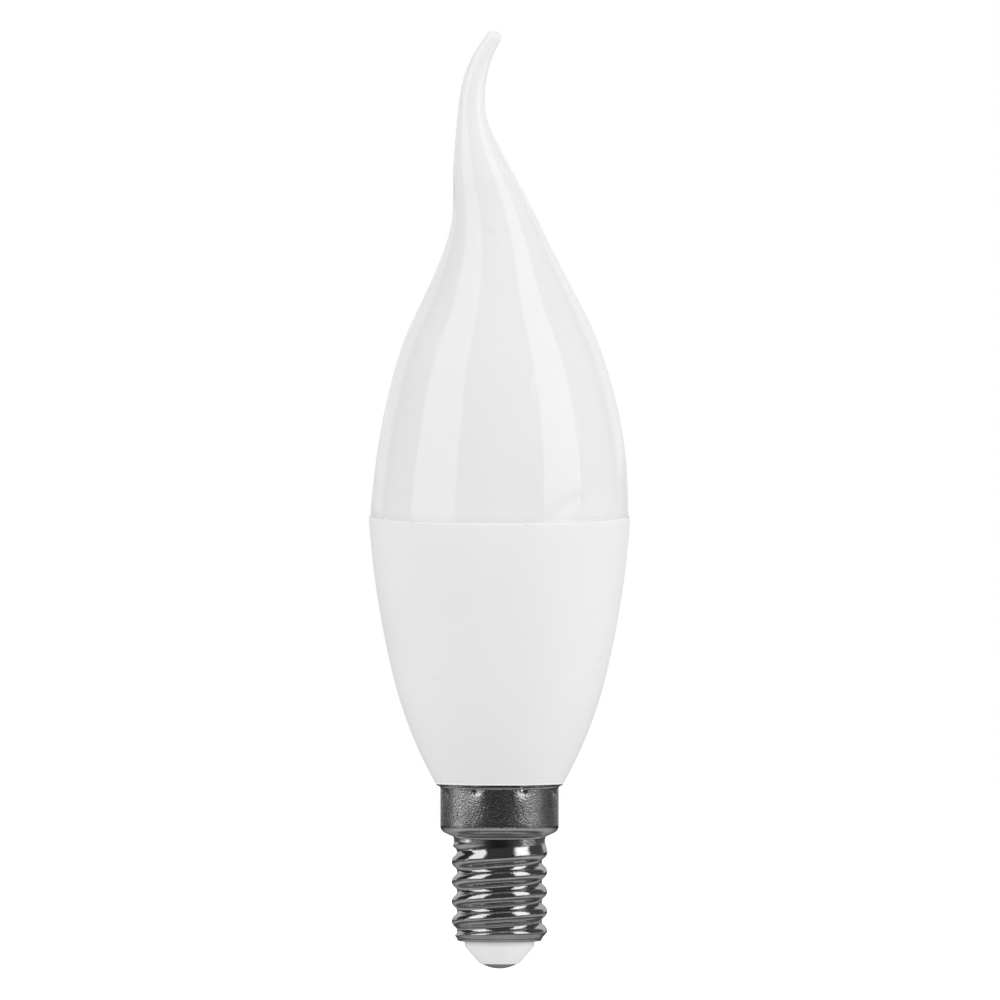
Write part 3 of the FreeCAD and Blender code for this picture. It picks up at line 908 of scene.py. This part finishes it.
def opal_material(tint):
    """Glossy opal plastic, milky, with the faintest smudges and a painted highlight line just above
    the seam.
    """
    material, tree, shader, place = new_material("opal_plastic")
    plain = grained(
        tree, shader, place, (1500.0, 90.0), (0.35, 0.65, dimmed(tint, 0.985), dimmed(tint, 1.0)),
        roughness=(0.035, 0.06), bump=(0.04, 0.01 * MM),
    )
    # Painted highlight line just above the seam, lightening the opal where the corner with the
    # housing's rim shades it.
    seam_highlight = tree.spread(above_seam(tree, place), *SEAM_HIGHLIGHT, 1.0, 0.0)
    lit = tree.blend(seam_highlight, plain, dimmed(tint, 1.14))
    tree.supply(shader, {
        "Base Color": marked(tree, place, lit, tint, DIFFUSER_MARKS), "IOR": 1.5,
        "Subsurface Weight": 0.4, "Subsurface Radius": (1.0, 0.95, 0.9),
        "Subsurface Scale": 1.5 * MM,
    })
    return material


def white_plastic_material(name, tint, roughness, fine_scale, specks, edges=False):
    """Matte moulded plastic with a fine grain and dust; edges adds painted highlight lines along
    the housing's foot and rim, and the housing's marks, with painted shade at the seam's two ends.
    """
    material, tree, shader, place = new_material(name)
    plain = grained(
        tree, shader, place, (fine_scale, 50.0),
        (0.35, 0.65, dimmed(tint, 0.98), dimmed(tint, 1.0)),
        roughness=(roughness - 0.04, roughness + 0.04), bump=(0.25, 0.03 * MM),
    )
    dust = effect(tree, "dust_specks", Vector=place, Scale=260.0, Size=0.03, Amount=specks)
    plain = tree.blend(dust.outputs["Mask"], plain, dimmed(tint, 0.6))
    if edges:
        # Painted highlight lines along the foot's rounded edge and along the rim's top edge.
        foot = tree.spread(above_rim(tree, place), *FOOT_HIGHLIGHT, 1.0, 0.0)
        rim = tree.spread(above_seam(tree, place), *RIM_HIGHLIGHT, 0.0, 0.65)
        lit = tree.blend(tree.sum("MAXIMUM", foot, rim), plain, dimmed(tint, 1.19))
        plain = marked(tree, place, lit, tint, HOUSING_MARKS_AND_SHADE)
    tree.supply(shader, {"Base Color": plain, "IOR": 1.48})
    return material


def metal_material(name, tint, roughness, mottle):
    """Plated sheet with a mottled, slightly rippled skin, and a painted shadow along the cap's rim
    under the housing's foot.
    """
    material, tree, shader, place = new_material(name)
    level = above_rim(tree, place)
    plain = grained(
        tree, shader, place, (4000.0, 300.0), (0.3, 0.7, dimmed(tint, 0.8), dimmed(tint, 1.0)),
        roughness=(roughness - 0.04, roughness + 0.05),
        bump=(tree.spread(level, *MOTTLE_RISE, 0.25, 1.0), mottle),
    )
    # Painted shadow along the top of the cap's rim, under the housing's foot.
    cap_rim_shadow = tree.spread(level, *CAP_RIM_SHADOW, 0.0, 1.0)
    tree.supply(shader, {
        "Base Color": tree.blend(cap_rim_shadow, plain, dimmed(tint, 0.25)), "Metallic": 1.0,
        "Specular Tint": (0.6, 0.6, 0.6, 1.0),
    })
    return material


# Stage

# Light panels: name, bearing from the camera's side in degrees, width, low and high edge in metres.
PANELS = [
    ("left_panel", -62.8, 0.57, 0.11, 1.5),
    ("right_panel", 58.6, 0.48, 0.1165, 1.5),
    ("right_strip", 58.6, 0.46, 0.098, 0.106),
]


def light_panel(name, bearing, width, low, high, distance, strength):
    """An upright light panel that faces the bulb, on a bearing from the camera's side."""
    data = bpy.data.lights.new(name, "AREA")
    data.shape = "RECTANGLE"
    data.size = width
    data.size_y = high - low
    data.energy = strength * math.pi * width * (high - low)
    panel = placed(name, data)
    angle = math.radians(bearing)
    panel.location = (math.sin(angle) * distance, -math.cos(angle) * distance, (low + high) / 2)
    facing = Vector((-panel.location.x, -panel.location.y, 0))
    panel.rotation_euler = facing.to_track_quat("-Z", "Y").to_euler()
    panel.visible_camera = False


# Brightest tone that the rings of studio tones can hold.
TONE_SCALE = 3.0

# Tones of the studio in glossy surfaces: bearing from the camera's side in degrees, brightness.
STUDIO_TONES = [
    (-180, 0.85), (-165, 0.7), (-150, 0.24), (-127, 0.15), (-111, 0.6), (-98, 1.1), (-92, 1.5),
    (-88, 3.0), (-84, 1.7), (-79, 0.5), (-60, 0.38), (-42, 0.28), (-34, 0.07), (-25, 0.015),
    (-17, 0), (12, 0), (22, 0.03), (38, 0.08), (55, 0.16), (61, 0.6), (66, 1.6), (70, 0.8),
    (84, 0.65), (94, 0.6), (106, 0.14), (121, 0.2), (139, 0.32), (150, 0.36), (165, 0.7),
    (180, 0.85),
]

# The same above the level of the bulb.
UPPER_TONES = [
    (-180, 0.9), (-150, 0.75), (-133, 0.6), (-128, 0.03), (-30, 0.05), (30, 0.05), (100, 0.07),
    (132, 0.09), (137, 0.65), (150, 0.75), (180, 0.9),
]


def make_world(sizes):
    """White to the camera, a soft fill to matte surfaces, and a studio's tones to glossy ones."""
    world = bpy.data.worlds.new("studio")
    bpy.context.scene.world = world
    world.cycles.sampling_method = "NONE"
    tree = empty_tree(world)
    path = tree.add("LightPath")
    way = tree.add("TexCoord").outputs["Generated"]
    across = tree.part(way, "X")
    bearing = tree.sum("ARCTAN2", across, tree.sum("MULTIPLY", tree.part(way, "Y"), -1.0))
    share = tree.spread(bearing, -math.pi, math.pi, 0.0, 1.0)
    rings = []
    for stops in (STUDIO_TONES, UPPER_TONES):
        tones = tree.add("ValToRGB", {"Fac": share})
        places = [((angle + 180) / 360, tone / TONE_SCALE) for angle, tone in stops]
        place_stops(tones.color_ramp, places)
        rings.append(tree.sum("MULTIPLY", tones.outputs["Color"], TONE_SCALE))
    raised = tree.spread(tree.part(way, "Z"), 0.01, 0.05, 0.0, 1.0)
    glossy = tree.blend(raised, *rings)
    right = tree.sum("MULTIPLY", across, sizes.fill_from_right)
    left = tree.sum("MULTIPLY", across, -sizes.fill_from_left)
    fill = tree.sum("ADD", tree.sum("MAXIMUM", right, left), sizes.fill)
    level = tree.blend(path.outputs["Is Glossy Ray"], fill, glossy)
    strength = tree.sum("MAXIMUM", level, path.outputs["Is Camera Ray"])
    background = tree.add("Background", {"Color": (1, 1, 1, 1), "Strength": strength})
    output = tree.add("OutputWorld")
    tree.links.new(background.outputs["Background"], output.inputs["Surface"])


def place_stops(ramp, stops):
    """Sets a ramp's stops to the given places and grey tones."""
    while len(ramp.elements) < len(stops):
        ramp.elements.new(0.5)
    for element, (place, tone) in zip(ramp.elements, stops):
        element.position = place
        element.color = (tone, tone, tone, 1)


# Half the floor's length, in metres.
FLOOR_REACH = 0.5

# How much brighter the camera sees the floor than the bulb does.
CAMERA_LIFT = 0.7

# Tones of the floor in glossy surfaces: distance from the bulb's axis in metres, brightness.
FLOOR_TONES = [
    (0.0, 0.35), (0.01, 0.35), (0.015, 0.1), (0.02, 0.1), (0.03, 0.5), (0.05, 0.42),
    (0.07, 0.26), (0.15, 0.04), (0.3, 0.01),
]


def make_floor(sizes):
    """Plain pale floor, bright as in a light tent, that still takes a soft shadow."""
    bm = bmesh.new()
    bmesh.ops.create_grid(bm, x_segments=1, y_segments=1, size=FLOOR_REACH)
    mesh = bpy.data.meshes.new("floor")
    bm.to_mesh(mesh)
    bm.free()
    material = bpy.data.materials.new("pale_floor")
    tree = empty_tree(material)
    path = tree.add("LightPath")
    place = tree.add("TexCoord").outputs["Object"]
    away = tree.sum("DIVIDE", tree.size(place), FLOOR_REACH)
    tones = tree.add("ValToRGB", {"Fac": away})
    places = [(distance / FLOOR_REACH, tone) for distance, tone in FLOOR_TONES]
    place_stops(tones.color_ramp, places)
    seen = tree.sum("MULTIPLY_ADD", path.outputs["Is Camera Ray"], CAMERA_LIFT, sizes.floor_glow)
    glow = tree.blend(path.outputs["Is Glossy Ray"], seen, tones.outputs["Color"])
    emission = tree.add("Emission", {"Color": (1, 1, 1, 1), "Strength": glow})
    tone = tree.blend(path.outputs["Is Glossy Ray"], (0.4, 0.4, 0.4, 1), (0, 0, 0, 1))
    matte = tree.add("BsdfDiffuse", {"Color": tone})
    both = tree.add("AddShader")
    tree.links.new(emission.outputs["Emission"], both.inputs[0])
    tree.links.new(matte.outputs["BSDF"], both.inputs[1])
    output = tree.add("OutputMaterial")
    tree.links.new(both.outputs["Shader"], output.inputs["Surface"])
    mesh.materials.append(material)
    floor = placed("floor", mesh)


def make_camera(sizes, pixels=1000):
    """Long lens, almost level, framed like the photograph, a square of so many pixels."""
    frame_size = pixels / sizes.pixels_per_metre
    target = Vector((0, 0, (sizes.contact_row - pixels / 2) / sizes.pixels_per_metre))
    away = Vector((0, -math.cos(sizes.camera_height), math.sin(sizes.camera_height)))
    data = bpy.data.cameras.new("camera")
    data.sensor_width = 36
    data.lens = data.sensor_width * sizes.camera_distance / frame_size
    data.shift_x = (pixels / 2 - sizes.axis_column) / pixels
    data.clip_end = 50
    camera = placed("camera", data)
    camera.location = target + away * sizes.camera_distance
    camera.rotation_euler = (-away).to_track_quat("-Z", "Y").to_euler()
    bpy.context.scene.camera = camera


# Operators and panel

class CANDLE_OT_diffuser(bpy.types.Operator):
    """Make the opal diffuser with its bent flame tip"""
    bl_idname = "candle.diffuser"
    bl_label = "Make Diffuser"

    def execute(self, context):
        sizes = settings().diffuser
        piece = finished_piece(diffuser_mesh(sizes), "opal_diffuser", opal_material(sizes.tint))
        settle(piece, "diffuser")
        return {"FINISHED"}


class CANDLE_OT_housing(bpy.types.Operator):
    """Make the matte white housing"""
    bl_idname = "candle.housing"
    bl_label = "Make Housing"

    def execute(self, context):
        sizes = settings().housing
        material = white_plastic_material(
            "white_plastic", sizes.tint, roughness=0.55, fine_scale=4000.0, specks=0.02, edges=True,
        )
        piece = finished_piece(housing_mesh(sizes), "white_housing", material)
        settle(piece, "housing")
        return {"FINISHED"}


class CANDLE_OT_screw_cap(bpy.types.Operator):
    """Make the rolled screw cap"""
    bl_idname = "candle.screw_cap"
    bl_label = "Make Screw Cap"

    def execute(self, context):
        sizes = settings().cap
        material = metal_material("cap_metal", sizes.tint, roughness=0.1, mottle=0.055 * MM)
        piece = finished_piece(cap_mesh(sizes), "rolled_screw_cap", material, sharp_angle=60)
        settle(piece, "screw_cap")
        return {"FINISHED"}


class CANDLE_OT_insulator(bpy.types.Operator):
    """Make the white insulator in the cap's foot"""
    bl_idname = "candle.insulator"
    bl_label = "Make Insulator"

    def execute(self, context):
        sizes = settings().small
        material = white_plastic_material(
            "insulator_plastic", sizes.insulator_tint, roughness=0.4, fine_scale=3000.0, specks=0.0,
        )
        piece = finished_piece(insulator_mesh(sizes), "cap_insulator", material)
        settle(piece, "insulator")
        return {"FINISHED"}


class CANDLE_OT_contact(bpy.types.Operator):
    """Make the domed centre contact"""
    bl_idname = "candle.contact"
    bl_label = "Make Contact"

    def execute(self, context):
        sizes = settings().small
        material = metal_material(
            "contact_metal", sizes.contact_tint, roughness=0.25, mottle=0.012 * MM,
        )
        piece = finished_piece(contact_mesh(sizes), "contact_button", material)
        settle(piece, "centre_contact")
        return {"FINISHED"}


class CANDLE_OT_stage(bpy.types.Operator):
    """Set up the floor, the lights and the camera"""
    bl_idname = "candle.stage"
    bl_label = "Set Up Stage"

    def execute(self, context):
        sizes = settings().stage
        context.scene.view_settings.view_transform = "Standard"
        make_world(sizes)
        make_floor(sizes)
        right = sizes.right_strength
        strengths = (sizes.left_strength, right, right * sizes.strip_share)
        for panel, strength in zip(PANELS, strengths):
            light_panel(*panel, sizes.light_distance, strength)
        make_camera(sizes)
        return {"FINISHED"}


class CANDLE_PT_panel(bpy.types.Panel):
    """Lists the bulb's pieces and their settings"""
    bl_idname = "CANDLE_PT_panel"
    bl_label = "Candle Bulb"
    bl_space_type = "VIEW_3D"
    bl_region_type = "UI"
    bl_category = "Candle Bulb"

    def draw(self, context):
        layout = self.layout
        for operator in OPERATORS:
            layout.operator(operator.bl_idname)
        for name in ("diffuser", "housing", "cap", "small", "stage"):
            group = getattr(settings(), name)
            box = layout.box()
            box.label(text=name.title())
            for item in group.bl_rna.properties:
                if item.identifier not in {"rna_type", "name"}:
                    label = item.identifier.replace("_", " ").title()
                    box.prop(group, item.identifier, text=label)


OPERATORS = (
    CANDLE_OT_diffuser,
    CANDLE_OT_housing,
    CANDLE_OT_screw_cap,
    CANDLE_OT_insulator,
    CANDLE_OT_contact,
    CANDLE_OT_stage,
)

CLASSES = (
    DiffuserSettings,
    HousingSettings,
    CapSettings,
    SmallPartSettings,
    StageSettings,
    CandleBulbSettings,
) + OPERATORS + (CANDLE_PT_panel,)


def register():
    for item in CLASSES:
        bpy.utils.register_class(item)
    bpy.types.Scene.candle_bulb = PointerProperty(type=CandleBulbSettings)


def unregister():
    del bpy.types.Scene.candle_bulb
    for item in reversed(CLASSES):
        bpy.utils.unregister_class(item)


def main():
    """Makes every piece and the stage."""
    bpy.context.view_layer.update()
    register()
    bpy.ops.candle.diffuser()
    bpy.ops.candle.housing()
    bpy.ops.candle.screw_cap()
    bpy.ops.candle.insulator()
    bpy.ops.candle.contact()
    bpy.ops.candle.stage()


if __name__ == "__main__":
    main()
